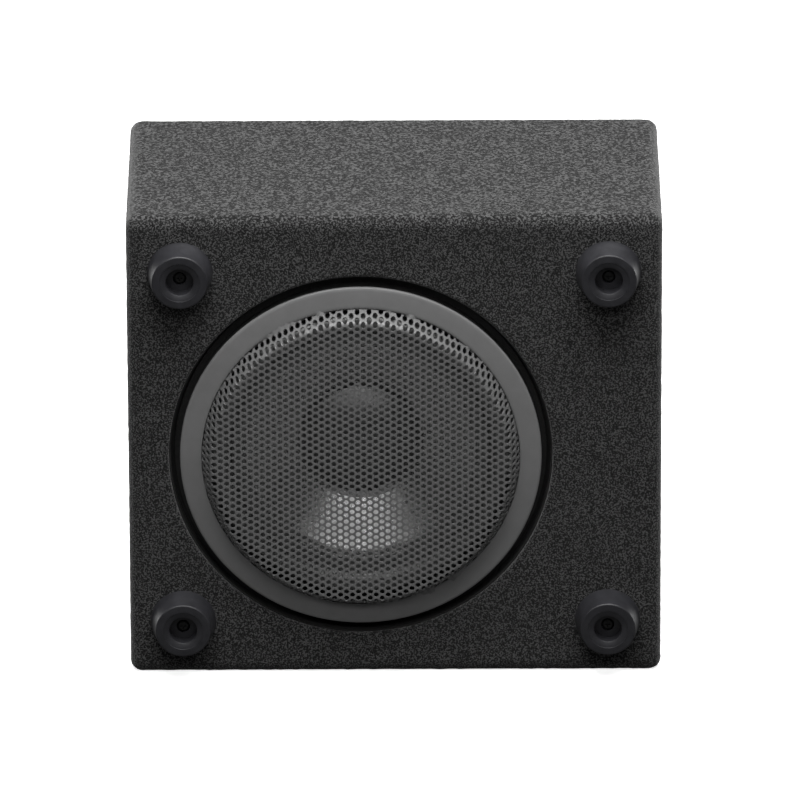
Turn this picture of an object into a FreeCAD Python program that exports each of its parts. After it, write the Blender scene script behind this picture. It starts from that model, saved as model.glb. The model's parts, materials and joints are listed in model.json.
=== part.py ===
import FreeCAD, Part
import math
import os
from FreeCAD import Vector

# A powered subwoofer box for a car. It stands on its lower face with the driver looking along -Y.
# Origin: centre of the footprint at floor level. +X is the right-hand end, where the amplifier sits.
# "depth" always means the distance behind the carpeted front face, so proud parts have a negative depth.

# ---- enclosure, millimetres ----
BOX_W = 309.0
BOX_H = 284.0
BOX_D = 166.0
EDGE_R = 6.5
CARPET_T = 2.5
WALL_T = 12.0
BAFFLE_T = 18.0
FELT_T = 10.0

# ---- rubber feet on the front face ----
FOOT_H = 16.0
FOOT_BASE_R = 19.0
FOOT_END_R = 16.2
FOOT_RECESS_R = 8.0
FOOT_RECESS_DEPTH = 8.0
FOOT_POCKET_R = 3.9
FOOT_POCKET_DEPTH = 3.0
FOOT_INSET_X = 30.8
FOOT_INSET_Z = 33.2
FOOT_SCREW_R = 2.1

# ---- driver, grille and trim ring ----
DRIVER_X = -19.8
DRIVER_Z = 136.4
RECESS_R = 111.4
REBATE_DEPTH = 12.5
CUTOUT_R = 92.5
RING_R = 105.0
RING_BORE_R = 92.4
RING_PROUD = 1.3
RING_T = 3.0
RING_FALL = 1.2
GRILLE_FLAT_R = 85.9
GRILLE_PROUD = 11.3
GRILLE_T = 1.0
FLANGE_R = 108.0
FLANGE_DEPTH = 10.0
FLANGE_T = 1.5
DRIVER_SCREWS = 8
DRIVER_SCREW_PCR = 100.6
DRIVER_SCREW_R = 2.0
CONE_EDGE_R = 66.0
CONE_EDGE_DEPTH = 8.0
NECK_R = 19.3
NECK_DEPTH = 35.5
PAPER_T = 0.8
DUST_CAP_R = 33.0
DUST_CAP_RISE = 11.0
ROLL_IN_R = 75.0
ROLL_OUT_R = 88.0
SPOKES = 6
MOTOR_DEPTH = 56.5
TERMINAL_X = DRIVER_X + 80.0
TERMINAL_Z = 7.5
TERMINAL_DEPTH = 42.5

# ---- amplifier in the right-hand end ----
AMP_DEPTH = 83.0
AMP_HALF_Y = 63.0
AMP_HALF_Z = 125.0
TRAY_HALF_Y = 50.0
TRAY_HALF_Z = 111.0
TRAY_WALL = 3.0
AMP_FACE_X = 154.0
AMP_FLANGE_T = 2.5
AMP_GASKET_T = 1.0
TRAY_FLOOR_X = 137.0
TRAY_BACK_X = 134.0
DIVIDER_Z = -18.5
FINS = 9
FIN_T = 2.2
PCB_X = 123.0
PCB_T = 1.6
COVER_X = 98.0
AMP_SCREW_R = 1.75
KNOB_ROW_Z = -33.0
JACK_ROW_Z = -61.0
POWER_ROW_Z = -91.0
KNOB_Y = {"gain": -36.0, "crossover": -18.0, "bass_boost": 0.0}
SLIDER_Y = {"phase": 18.0, "auto_on": 34.0}
SLIDER_TRAVEL = 2.0
RCA_Y = (-37.0, -22.0)
LED_Y = -8.0
# centre across, centre up, width and height of the rectangular parts in the control pocket
REMOTE = (8.0, JACK_ROW_Z, 15.0, 13.0)
SPEAKER_IN = (32.0, JACK_ROW_Z, 22.0, 13.0)
POWER = (-19.0, POWER_ROW_Z, 48.0, 19.0)
FUSES = (27.0, POWER_ROW_Z, 28.0, 19.0)
GROMMET_DEPTH = 55.0

# ---- places worked out from the sizes above ----
HALF_W = BOX_W / 2
Y_FRONT = -(BOX_D + FOOT_H) / 2 + FOOT_H
INNER_X = HALF_W - CARPET_T - WALL_T
INNER_Z = (CARPET_T + WALL_T, BOX_H - CARPET_T - WALL_T)
BACK_INSIDE = BOX_D - CARPET_T - WALL_T
AMP_Y = Y_FRONT + AMP_DEPTH
AMP_Z = BOX_H / 2
ALONG_X = Vector(1, 0, 0)
ALONG_Y = Vector(0, 1, 0)


def y_at(depth):
    return Y_FRONT + depth


def save(name, *solids):
    shape = solids[0] if len(solids) == 1 else Part.makeCompound(list(solids))
    shape.exportStep("parts/" + name + ".step")


def block(x, y, z):
    return Part.makeBox(x[1] - x[0], y[1] - y[0], z[1] - z[0], Vector(x[0], y[0], z[0]))


def rounded_plate(x, y, z, radius):
    """A block whose four edges along X are rounded."""
    plate = block(x, y, z)
    edges = [edge for edge in plate.Edges if abs(edge.tangentAt(0).x) > 0.9]
    return plate.makeFillet(radius, edges)


def rod_y(radius, depths, x=DRIVER_X, z=DRIVER_Z):
    return Part.makeCylinder(radius, depths[1] - depths[0], Vector(x, y_at(depths[0]), z), ALONG_Y)


def rod_x(radius, span, y, z):
    return Part.makeCylinder(radius, span[1] - span[0], Vector(span[0], y, z), ALONG_X)


def outline(points, place):
    """Closed wire through (a, b) points. A point (mid_a, mid_b, a, b) is reached by an arc."""
    edges = []
    here = place(*points[0][-2:])
    for point in points[1:] + points[:1]:
        there = place(*point[-2:])
        if len(point) == 4:
            edges.append(Part.Arc(here, place(*point[:2]), there).toShape())
        else:
            edges.append(Part.makeLine(here, there))
        here = there
    return Part.Wire(edges)


def turned_y(points, x=DRIVER_X, z=DRIVER_Z, degrees=360.0):
    """Profile of (radius, depth) points turned about a line along Y."""
    face = Part.Face(outline(points, lambda radius, depth: Vector(x + radius, y_at(depth), z)))
    return face.revolve(Vector(x, 0, z), ALONG_Y, degrees)


def turned_x(points, y, z):
    """Profile of (radius, x) points turned about a line along X."""
    face = Part.Face(outline(points, lambda radius, x: Vector(x, y, z + radius)))
    return face.revolve(Vector(0, y, z), ALONG_X, 360.0)


def around_driver(shape, count, first=0.0):
    """Copies of a shape spaced evenly about the driver's axis."""
    copies = []
    for index in range(count):
        copy = shape.copy()
        copy.rotate(Vector(DRIVER_X, 0, DRIVER_Z), ALONG_Y, first + index * 360.0 / count)
        copies.append(copy)
    return copies


def circle_of_points(radius, count, first=0.0):
    angles = [math.radians(first + index * 360.0 / count) for index in range(count)]
    return [(DRIVER_X + radius * math.cos(a), DRIVER_Z + radius * math.sin(a)) for a in angles]


DRIVER_SCREW_PLACES = circle_of_points(DRIVER_SCREW_PCR, DRIVER_SCREWS, 22.5)
FOOT_X = HALF_W - FOOT_INSET_X
FOOT_PLACES = [(x, z) for x in (-FOOT_X, FOOT_X) for z in (FOOT_INSET_Z, BOX_H - FOOT_INSET_Z)]
AMP_SCREW_PLACES = [(y, z) for y in (-57.5, 57.5) for z in (-119.0, 0.0, 119.0)]
AMP_SCREW_PLACES += [(0.0, -119.0), (0.0, 119.0)]
COVER_POSTS = [(y, z) for y in (-44.5, 44.5) for z in (-105.5, 105.5)]
PCB_POSTS = [(y, z) for y in (-36.0, 36.0) for z in (-45.0, 95.0)]


# ---------------------------------------------------------------- enclosure
def rounded_box(inset):
    """The enclosure's outline, inset from the carpet's outer face on every side."""
    x = (-HALF_W + inset, HALF_W - inset)
    solid = block(x, (y_at(inset), y_at(BOX_D - inset)), (inset, BOX_H - inset))
    return solid.makeFillet(EDGE_R - inset, solid.Edges)


def foot_screw_holes(radius, depths):
    return [rod_y(radius, depths, x, z) for x, z in FOOT_PLACES]


def amp_opening():
    """Opening for the tray, with a shallow rebate for its flange and gasket."""
    hole = rounded_plate((INNER_X - 1, HALF_W), amp_y(TRAY_HALF_Y + 0.5), amp_z(TRAY_HALF_Z + 0.5), 4.0)
    return hole.fuse(amp_rebate())


def amp_rebate():
    x = (AMP_FACE_X - AMP_FLANGE_T - AMP_GASKET_T, HALF_W + 1)
    return rounded_plate(x, amp_y(AMP_HALF_Y + 0.4), amp_z(AMP_HALF_Z + 0.4), 10.4)


def amp_y(half):
    return (AMP_Y - half, AMP_Y + half)


def amp_z(half):
    return (AMP_Z - half, AMP_Z + half)


def panels():
    """Six MDF panels, butt jointed, with their outer edges rounded under the carpet."""
    core = rounded_box(CARPET_T)
    wide = (-HALF_W, HALF_W)
    deep = (y_at(0), y_at(BOX_D))
    inner = (-INNER_X, INNER_X)
    save("bottom_panel", core.common(block(wide, deep, (0, INNER_Z[0]))))
    save("top_panel", core.common(block(wide, deep, (INNER_Z[1], BOX_H))))
    save("left_panel", core.common(block((-HALF_W, -INNER_X), deep, INNER_Z)))

    right = core.common(block((INNER_X, HALF_W), deep, INNER_Z)).cut(amp_opening())
    pilots = [rod_x(AMP_SCREW_R, (INNER_X, HALF_W), AMP_Y + y, AMP_Z + z) for y, z in AMP_SCREW_PLACES]
    save("right_panel", right.cut(pilots))

    baffle = core.common(block(inner, (y_at(0), y_at(CARPET_T + BAFFLE_T)), INNER_Z))
    baffle = baffle.cut(rod_y(RECESS_R - 0.9, (0, REBATE_DEPTH)))
    baffle = baffle.cut(rod_y(CUTOUT_R, (0, BAFFLE_T + CARPET_T + 1)))
    screws = [rod_y(DRIVER_SCREW_R, (0, BOX_D / 2), x, z) for x, z in DRIVER_SCREW_PLACES]
    save("front_baffle", baffle.cut(screws + foot_screw_holes(FOOT_SCREW_R, (0, BOX_D / 2))))

    save("back_panel", core.common(block(inner, (y_at(BACK_INSIDE), y_at(BOX_D)), INNER_Z)))


def carpet():
    """One strip goes round top, front, bottom and back. Two trimmed pieces cover the ends."""
    skin = rounded_box(0).cut(rounded_box(CARPET_T))
    seam_x = HALF_W - CARPET_T
    deep = (y_at(0), y_at(BOX_D))
    strip = skin.common(block((-seam_x, seam_x), deep, (0, BOX_H)))
    strip = strip.cut(rod_y(RECESS_R, (-1, CARPET_T + 1)))
    strip = strip.cut(foot_screw_holes(FOOT_SCREW_R + 0.5, (-1, CARPET_T + 1)))
    seam = block((-HALF_W, HALF_W), (y_at(BOX_D - 20.0), y_at(BOX_D - 19.7)), (-1, CARPET_T + 0.5))
    save("carpet_wrap", strip.cut(seam))
    left = skin.common(block((-HALF_W, -seam_x), deep, (0, BOX_H)))
    right = skin.common(block((seam_x, HALF_W), deep, (0, BOX_H)))
    save("carpet_ends", left, right.cut(amp_rebate()))


def felt():
    x = (-INNER_X + 2, COVER_X - 8)
    y = (y_at(BACK_INSIDE - FELT_T), y_at(BACK_INSIDE))
    save("damping_felt", block(x, y, (INNER_Z[0] + 2, INNER_Z[1] - 2)))


# ---------------------------------------------------------------- fasteners
def cross_slot_y(x, z, depth, size):
    """Cross recess of a screw that is driven along +Y, from its head's face inwards."""
    span = (y_at(depth) - 0.1, y_at(depth) + size * 0.5)
    flat = block((x - size, x + size), span, (z - size / 5, z + size / 5))
    tall = block((x - size / 5, x + size / 5), span, (z - size, z + size))
    return flat.fuse(tall)


def cross_slot_x(y, z, face_x, size):
    """Cross recess of a screw that is driven along -X."""
    span = (face_x - size * 0.5, face_x + 0.1)
    flat = block(span, (y - size, y + size), (z - size / 5, z + size / 5))
    tall = block(span, (y - size / 5, y + size / 5), (z - size, z + size))
    return flat.fuse(tall)


def pan_screw_y(x, z, seat, tip, shank_r, head_r, head_t):
    """Pan-head screw: seat is the depth under its head, tip the depth of its end."""
    top = seat - head_t
    profile = [(0, top), (head_r * 0.6, top),
               (head_r * 0.9, top + head_t * 0.15, head_r, top + head_t * 0.5),
               (head_r, seat), (shank_r, seat), (shank_r, tip - shank_r), (0, tip)]
    return turned_y(profile, x, z).cut(cross_slot_y(x, z, top, head_r * 0.5))


def flat_screw_x(y, z, face_x, length, shank_r):
    """Countersunk screw, flush with a face that looks along +X."""
    head_r = shank_r * 2.1
    neck_x = face_x - (head_r - shank_r)
    tip_x = face_x - length
    profile = [(0, face_x), (head_r, face_x), (shank_r, neck_x), (shank_r, tip_x + shank_r), (0, tip_x)]
    return turned_x(profile, y, z).cut(cross_slot_x(y, z, face_x, shank_r))


def countersink_x(y, z, face_x, depth, shank_r):
    head_r = shank_r * 2.1
    neck_x = face_x - (head_r - shank_r)
    end_x = face_x - depth
    return turned_x([(0, face_x), (head_r, face_x), (shank_r, neck_x), (shank_r, end_x), (0, end_x)], y, z)


def pan_screw_x(y, z, seat_x, length, shank_r, head_r, head_t, outward=1):
    """Pan-head screw along X. outward is +1 when its head looks along +X, -1 along -X."""
    top = seat_x + outward * head_t
    tip = seat_x - outward * length
    profile = [(0, top), (head_r * 0.7, top), (head_r, seat_x + outward * head_t * 0.5), (head_r, seat_x),
               (shank_r, seat_x), (shank_r, tip), (0, tip)]
    screw = turned_x(profile, y, z)
    slot_x = (min(top, top - outward * 0.8), max(top, top - outward * 0.8))
    return screw.cut(block(slot_x, (y - head_r, y + head_r), (z - 0.4, z + 0.4)))


# ---------------------------------------------------------------- feet
def feet():
    """Tapered rubber feet. A washer and a pan-head screw sit in a pocket in each recess floor."""
    end = -FOOT_H
    floor = end + FOOT_RECESS_DEPTH
    seat = floor + FOOT_POCKET_DEPTH
    bore_r = FOOT_SCREW_R + 0.3
    washer_r = FOOT_POCKET_R - 0.2
    washer_t = 0.6
    fillet = 1.0
    corner = fillet * (1 - math.sqrt(0.5))
    profile = [
        (bore_r, 0), (FOOT_BASE_R, 0), (FOOT_END_R, end + fillet),
        (FOOT_END_R - corner, end + corner, FOOT_END_R - fillet, end),
        (FOOT_RECESS_R + 4.0, end), (FOOT_RECESS_R + 0.4, end + 1.3),
        (FOOT_RECESS_R, end + 1.8), (FOOT_RECESS_R, floor), (FOOT_POCKET_R, floor), (FOOT_POCKET_R, seat),
        (bore_r, seat),
    ]
    washer = [(bore_r, seat - washer_t), (washer_r, seat - washer_t), (washer_r, seat), (bore_r, seat)]
    save("rubber_feet", *[turned_y(profile, x, z) for x, z in FOOT_PLACES])
    fixings = [turned_y(washer, x, z) for x, z in FOOT_PLACES]
    head = (seat - washer_t, 17.0, FOOT_SCREW_R, washer_r - 0.3, 2.2)
    fixings += [pan_screw_y(x, z, *head) for x, z in FOOT_PLACES]
    save("foot_fixings", *fixings)


# ---------------------------------------------------------------- driver
def cone_depth(radius):
    """Depth of the straight paper cone's front at a radius."""
    slope = (NECK_DEPTH - CONE_EDGE_DEPTH) / (CONE_EDGE_R - NECK_R)
    return CONE_EDGE_DEPTH + (CONE_EDGE_R - radius) * slope


def basket():
    """Pressed steel frame with a flange, six spokes, a spider ledge and a seat for the motor."""
    ledge = 41.0
    front = [(FLANGE_R, FLANGE_DEPTH), (89.0, FLANGE_DEPTH), (86.5, 12.5), (78.0, 26.0), (63.5, ledge),
             (53.0, ledge), (50.5, 43.5), (46.0, MOTOR_DEPTH), (24.0, MOTOR_DEPTH)]
    back = [(24.0, MOTOR_DEPTH + FLANGE_T), (47.1, MOTOR_DEPTH + FLANGE_T), (51.9, 44.2), (53.6, 42.5),
            (64.1, 42.5), (79.2, 26.9), (87.8, 13.3), (89.6, 11.5), (FLANGE_R, 11.5)]
    frame = turned_y(front + back)
    window = [(60.0, 16.0), (95.0, 16.0), (95.0, 37.5), (60.0, 37.5)]
    wedge = turned_y(window, degrees=36.0)
    wedges = around_driver(wedge, SPOKES, -18.0)
    holes = [rod_y(DRIVER_SCREW_R + 0.2, (0, 20), x, z) for x, z in DRIVER_SCREW_PLACES]
    save("driver_basket", frame.cut(wedges + holes))


def flange_seals():
    """Foam under the driver's flange, and the rubber ring that clamps the surround over the screws."""
    foam = rod_y(FLANGE_R, (FLANGE_DEPTH + FLANGE_T, REBATE_DEPTH))
    foam = foam.cut(rod_y(CUTOUT_R + 0.5, (0, BAFFLE_T)))
    holes = [rod_y(DRIVER_SCREW_R + 0.2, (0, 20), x, z) for x, z in DRIVER_SCREW_PLACES]
    save("basket_gasket", foam.cut(holes))
    under_ring = RING_T - RING_PROUD
    under_grille = under_ring + GRILLE_T
    clamp_r = RING_R - 0.4
    ring = [(91.0, under_grille), (101.2, under_grille), (101.2, under_ring), (clamp_r, under_ring),
            (clamp_r, FLANGE_DEPTH), (95.2, FLANGE_DEPTH), (95.2, FLANGE_DEPTH - PAPER_T),
            (91.0, FLANGE_DEPTH - PAPER_T)]
    pockets = [rod_y(3.6, (7.0, FLANGE_DEPTH + 1), x, z) for x, z in DRIVER_SCREW_PLACES]
    save("clamp_ring", turned_y(ring).cut(pockets))


def surround():
    """Half-roll of rubber with a flat inner lip on the cone's rim and an outer lip on the flange."""
    middle = (ROLL_IN_R + ROLL_OUT_R) / 2
    lip = CONE_EDGE_DEPTH
    half = PAPER_T / 2
    crest = lip - (ROLL_OUT_R - ROLL_IN_R) / 2 - 0.4
    profile = [
        (CONE_EDGE_R, lip - PAPER_T), (ROLL_IN_R - half, lip - PAPER_T),
        (middle, crest - PAPER_T, ROLL_OUT_R + half, lip - PAPER_T),
        (ROLL_OUT_R + half, FLANGE_DEPTH - PAPER_T), (95.0, FLANGE_DEPTH - PAPER_T), (95.0, FLANGE_DEPTH),
        (ROLL_OUT_R - half, FLANGE_DEPTH), (ROLL_OUT_R - half, lip),
        (middle, crest, ROLL_IN_R + half, lip), (CONE_EDGE_R, lip),
    ]
    save("surround", turned_y(profile))


def cone():
    """Pressed paper cone with a flat rim, glued to the coil former at its neck."""
    rim_r = 72.0
    slope = (NECK_DEPTH - CONE_EDGE_DEPTH) / (CONE_EDGE_R - NECK_R)
    thick = PAPER_T * math.sqrt(1 + slope * slope)
    bend = CONE_EDGE_R - (thick - PAPER_T) / slope
    profile = [(NECK_R, NECK_DEPTH), (CONE_EDGE_R, CONE_EDGE_DEPTH), (rim_r, CONE_EDGE_DEPTH),
               (rim_r, CONE_EDGE_DEPTH + PAPER_T), (bend, CONE_EDGE_DEPTH + PAPER_T),
               (NECK_R, NECK_DEPTH + thick)]
    save("cone", turned_y(profile))


def dust_cap():
    """Shallow dome with a narrow collar that lies on the cone."""
    collar_r = DUST_CAP_R + 3.0
    thick = 0.6
    ball_r = (DUST_CAP_R ** 2 + DUST_CAP_RISE ** 2) / (2 * DUST_CAP_RISE)
    apex = cone_depth(DUST_CAP_R) - thick - DUST_CAP_RISE

    def dome(radius, shift):
        return apex + shift + ball_r - math.sqrt(ball_r ** 2 - radius ** 2)

    flat_r = 0.5
    half_r = DUST_CAP_R / 2
    foot_r = DUST_CAP_R - 1.0
    profile = [
        (0, apex), (flat_r, apex), (half_r, dome(half_r, 0), DUST_CAP_R, cone_depth(DUST_CAP_R) - thick),
        (collar_r, cone_depth(collar_r) - thick), (collar_r, cone_depth(collar_r)),
        (foot_r, cone_depth(foot_r)),
        (half_r, dome(half_r, thick), flat_r, apex + thick), (0, apex + thick),
    ]
    save("dust_cap", turned_y(profile))


def coil():
    former = [(NECK_R - 0.3, NECK_DEPTH - 1), (NECK_R, NECK_DEPTH - 1), (NECK_R, 72.0), (NECK_R - 0.3, 72.0)]
    save("coil_former", turned_y(former))
    winding = [(NECK_R, 54.5), (NECK_R + 1.2, 54.5), (NECK_R + 1.2, 70.0), (NECK_R, 70.0)]
    save("voice_coil", turned_y(winding))


def spider():
    """Corrugated cloth disc between the former and the basket's ledge."""
    ledge = 41.0
    thick = 0.6
    wave = 1.4
    waves = 4
    start = NECK_R + 2.0
    pitch = (53.0 - start) / waves
    near = [(NECK_R, ledge - thick)]
    for index in range(waves):
        near.append((start + index * pitch, ledge - thick))
        near.append((start + (index + 0.5) * pitch, ledge - thick - wave * 2))
    near.append((53.0, ledge - thick))
    near.append((62.0, ledge - thick))
    far = [(radius, depth + thick) for radius, depth in reversed(near)]
    save("spider", turned_y(near + far))


def motor():
    """Ferrite motor: top plate, ring magnet, vented pole with its back plate, and a rubber boot."""
    plate = MOTOR_DEPTH + FLANGE_T
    magnet = plate + 8.0
    back = magnet + 18.0
    end = back + 7.0
    save("top_plate", turned_y([(21.2, plate), (50.0, plate), (50.0, magnet), (21.2, magnet)]))
    save("magnet", turned_y([(32.0, magnet), (57.0, magnet), (57.0, back), (32.0, back)]))
    pole = [(6.0, plate - 0.5), (17.3, plate - 0.5), (18.3, plate + 0.5), (18.3, back), (53.0, back),
            (53.0, end - 1.0), (52.0, end), (9.0, end), (6.0, end - 3.0)]
    save("pole_yoke", turned_y(pole))
    boot = [(57.3, magnet + 0.5), (59.5, magnet + 0.5), (59.5, end), (57.5, end + 2.0), (20.0, end + 2.0),
            (20.0, end), (53.3, end), (57.3, end - 0.5)]
    save("magnet_boot", turned_y(boot))


def driver_terminals():
    """Insulating strip behind the spider ledge, its two tabs, and the flexible leads to the cone."""
    inner_x = DRIVER_X + 55.0
    strip = block((inner_x, TERMINAL_X), (y_at(TERMINAL_DEPTH), y_at(TERMINAL_DEPTH + 1.6)),
                  (DRIVER_Z - 12, DRIVER_Z + 12))
    tab_y = (y_at(TERMINAL_DEPTH + 1.6), y_at(TERMINAL_DEPTH + 2.4))
    rows = [DRIVER_Z - TERMINAL_Z, DRIVER_Z + TERMINAL_Z]
    tabs = [block((TERMINAL_X - 10.0, TERMINAL_X + 8.0), tab_y, (z - 2.4, z + 2.4)) for z in rows]
    save("terminal_strip", strip)
    save("terminal_tabs", *tabs)
    save("tinsel_leads", *[tinsel_lead(z) for z in rows])
    save("speaker_leads", *speaker_wires())


def tinsel_lead(z):
    """Braided lead: one slack arc from the strip, through a window, to the back of the cone."""
    cone_r = 38.0
    start = Vector(TERMINAL_X - 8.0, y_at(TERMINAL_DEPTH - 0.1), z)
    end = Vector(DRIVER_X + cone_r, y_at(cone_depth(cone_r) + 2.2), z)
    middle = Vector(DRIVER_X + 65.0, y_at(29.0), z)
    arc = Part.Arc(start, middle, end)
    tangent = arc.tangent(arc.FirstParameter)[0]
    section = Part.Wire(Part.makeCircle(0.9, start, tangent))
    return Part.Wire(arc.toShape()).makePipeShell([section], True, False)


def speaker_wires():
    """Two insulated wires pulled straight from the tabs to the grommet in the amplifier's cover."""
    wires = []
    for side in (-1, 1):
        start = Vector(TERMINAL_X + 4.0, y_at(TERMINAL_DEPTH + 3.8), DRIVER_Z + side * TERMINAL_Z)
        end = Vector(COVER_X + 0.5, y_at(GROMMET_DEPTH), DRIVER_Z + side * 3.0)
        span = end.sub(start)
        wires.append(Part.makeCylinder(1.3, span.Length, start, span))
    return wires


def driver_screws():
    screws = []
    for x, z in DRIVER_SCREW_PLACES:
        screws.append(pan_screw_y(x, z, FLANGE_DEPTH, 26.0, DRIVER_SCREW_R, 3.2, 2.6))
    save("driver_screws", *screws)


def trim_ring():
    """Moulded ring whose slightly crowned face falls away outwards, with bevelled edges."""
    face = -RING_PROUD
    under = face + RING_T
    bevel = 0.7
    lip = 0.4
    outer_r = RING_R - bevel
    inner_r = RING_BORE_R + lip
    outer_face = face + RING_FALL
    crown = ((inner_r + outer_r) / 2, face + RING_FALL * 0.42)
    profile = [(inner_r, face), crown + (outer_r, outer_face), (RING_R, outer_face + bevel),
               (RING_R, under), (RING_BORE_R, under), (RING_BORE_R, face + lip)]
    save("trim_ring", turned_y(profile))


def grille():
    """Dished steel screen. Its flat face stands proud, and its flange is clamped under the ring."""
    face = -GRILLE_PROUD
    under = RING_T - RING_PROUD
    steep = math.radians(65.0)
    outer_bend = 2.0
    inner_bend = outer_bend - GRILLE_T
    wall_r = RING_BORE_R - 0.2

    def on_bend(radius, angle):
        return (GRILLE_FLAT_R + radius * math.sin(angle), face + outer_bend - radius * math.cos(angle))

    bend_end = on_bend(outer_bend, steep)
    wall_top = bend_end[1] + (wall_r - bend_end[0]) * math.tan(steep)
    inner_end = on_bend(inner_bend, steep)
    inner_wall_r = wall_r - GRILLE_T
    inner_top = inner_end[1] + (inner_wall_r - inner_end[0]) * math.tan(steep)
    profile = [
        (0, face), (GRILLE_FLAT_R, face), on_bend(outer_bend, steep / 2) + bend_end,
        (wall_r, wall_top), (wall_r, under), (101.0, under), (101.0, under + GRILLE_T),
        (inner_wall_r, under + GRILLE_T), (inner_wall_r, inner_top),
        inner_end, on_bend(inner_bend, steep / 2) + (GRILLE_FLAT_R, face + GRILLE_T), (0, face + GRILLE_T),
    ]
    save("grille", turned_y(profile))


# ---------------------------------------------------------------- amplifier
def tray():
    """Die-cast heat-sink tray: flange, control pocket, finned pocket, and posts behind."""
    flange_x = (AMP_FACE_X - AMP_FLANGE_T, AMP_FACE_X)
    body = rounded_plate(flange_x, amp_y(AMP_HALF_Y), amp_z(AMP_HALF_Z), 10.0)
    hull = rounded_plate((TRAY_BACK_X, flange_x[1]), amp_y(TRAY_HALF_Y), amp_z(TRAY_HALF_Z), 3.5)
    body = body.fuse(hull)
    pocket_y = amp_y(TRAY_HALF_Y - TRAY_WALL)
    inside_z = TRAY_HALF_Z - TRAY_WALL
    lower = (AMP_Z - inside_z, AMP_Z + DIVIDER_Z - TRAY_WALL / 2)
    upper = (AMP_Z + DIVIDER_Z + TRAY_WALL / 2, AMP_Z + inside_z)
    for z in (lower, upper):
        body = body.cut(rounded_plate((TRAY_FLOOR_X, HALF_W), pocket_y, z, 4.0))

    pitch = 2 * (TRAY_HALF_Y - TRAY_WALL) / (FINS + 1)
    fins = []
    fin_z = (upper[0] + 3, upper[1] - 3)
    for index in range(FINS):
        y = pocket_y[0] + pitch * (index + 1)
        fins.append(block((TRAY_FLOOR_X - 0.5, 152.5), (y - FIN_T / 2, y + FIN_T / 2), fin_z))
    posts = [rod_x(3.6, (COVER_X + 1.0, TRAY_BACK_X + 1), AMP_Y + y, AMP_Z + z) for y, z in COVER_POSTS]
    posts += [rod_x(3.0, (PCB_X, TRAY_BACK_X + 1), AMP_Y + y, AMP_Z + z) for y, z in PCB_POSTS]
    body = body.fuse(fins + posts)
    save("amp_tray", body.cut(tray_holes()))


def tray_holes():
    floor = (TRAY_BACK_X - 1, TRAY_FLOOR_X + 1)
    holes = [countersink_x(AMP_Y + y, AMP_Z + z, AMP_FACE_X, 4.0, AMP_SCREW_R) for y, z in AMP_SCREW_PLACES]
    holes += [rod_x(1.3, (COVER_X, COVER_X + 15), AMP_Y + y, AMP_Z + z) for y, z in COVER_POSTS]
    holes += [rod_x(1.3, (PCB_X - 1, PCB_X + 9), AMP_Y + y, AMP_Z + z) for y, z in PCB_POSTS]
    holes += [rod_x(3.6, floor, AMP_Y + y, AMP_Z + KNOB_ROW_Z) for y in KNOB_Y.values()]
    holes += [block(floor, *slider_slot(y)) for y in SLIDER_Y.values()]
    holes += [rod_x(5.2, floor, AMP_Y + y, AMP_Z + JACK_ROW_Z) for y in RCA_Y]
    holes.append(rod_x(1.6, floor, AMP_Y + LED_Y, AMP_Z + JACK_ROW_Z))
    holes += [block(floor, *footprint(*size)) for size in (REMOTE, SPEAKER_IN, POWER, FUSES)]
    return holes


def slider_slot(y):
    reach = 1.3 + SLIDER_TRAVEL + 0.3
    row = AMP_Z + KNOB_ROW_Z
    return (AMP_Y + y - 1.6, AMP_Y + y + 1.6), (row - reach, row + reach)


def footprint(y, z, width, height, shrink=0.0):
    half_w = width / 2 - shrink
    half_h = height / 2 - shrink
    return (AMP_Y + y - half_w, AMP_Y + y + half_w), (AMP_Z + z - half_h, AMP_Z + z + half_h)


def amp_seal_and_screws():
    x = (AMP_FACE_X - AMP_FLANGE_T - AMP_GASKET_T, AMP_FACE_X - AMP_FLANGE_T)
    foam = rounded_plate(x, amp_y(AMP_HALF_Y - 1), amp_z(AMP_HALF_Z - 1), 9.0)
    foam = foam.cut(rounded_plate((x[0] - 1, x[1] + 1), amp_y(TRAY_HALF_Y + 1), amp_z(TRAY_HALF_Z + 1), 4.5))
    holes = [rod_x(AMP_SCREW_R, (x[0] - 1, x[1] + 1), AMP_Y + y, AMP_Z + z) for y, z in AMP_SCREW_PLACES]
    save("amp_gasket", foam.cut(holes))
    screws = [flat_screw_x(AMP_Y + y, AMP_Z + z, AMP_FACE_X, 13.0, AMP_SCREW_R) for y, z in AMP_SCREW_PLACES]
    save("amp_screws", *screws)


def cover():
    """Folded steel box over the circuit board, screwed to the tray's four long posts."""
    shell = rounded_plate((COVER_X, TRAY_BACK_X), amp_y(49.5), amp_z(110.5), 3.0)
    shell = shell.cut(rounded_plate((COVER_X + 1.0, TRAY_BACK_X + 1), amp_y(48.5), amp_z(109.5), 2.0))
    holes = [rod_x(1.6, (COVER_X - 1, COVER_X + 2), AMP_Y + y, AMP_Z + z) for y, z in COVER_POSTS]
    holes.append(rod_x(6.0, (COVER_X - 1, COVER_X + 2), y_at(GROMMET_DEPTH), DRIVER_Z))
    save("amp_cover", shell.cut(holes))
    grommet = [(6.0, COVER_X), (7.5, COVER_X), (7.5, COVER_X - 1.5), (0, COVER_X - 1.5), (0, COVER_X + 2.5),
               (7.5, COVER_X + 2.5), (7.5, COVER_X + 1.0), (6.0, COVER_X + 1.0)]
    save("lead_grommet", turned_x(grommet, y_at(GROMMET_DEPTH), DRIVER_Z).cut(speaker_wires()))


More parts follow.
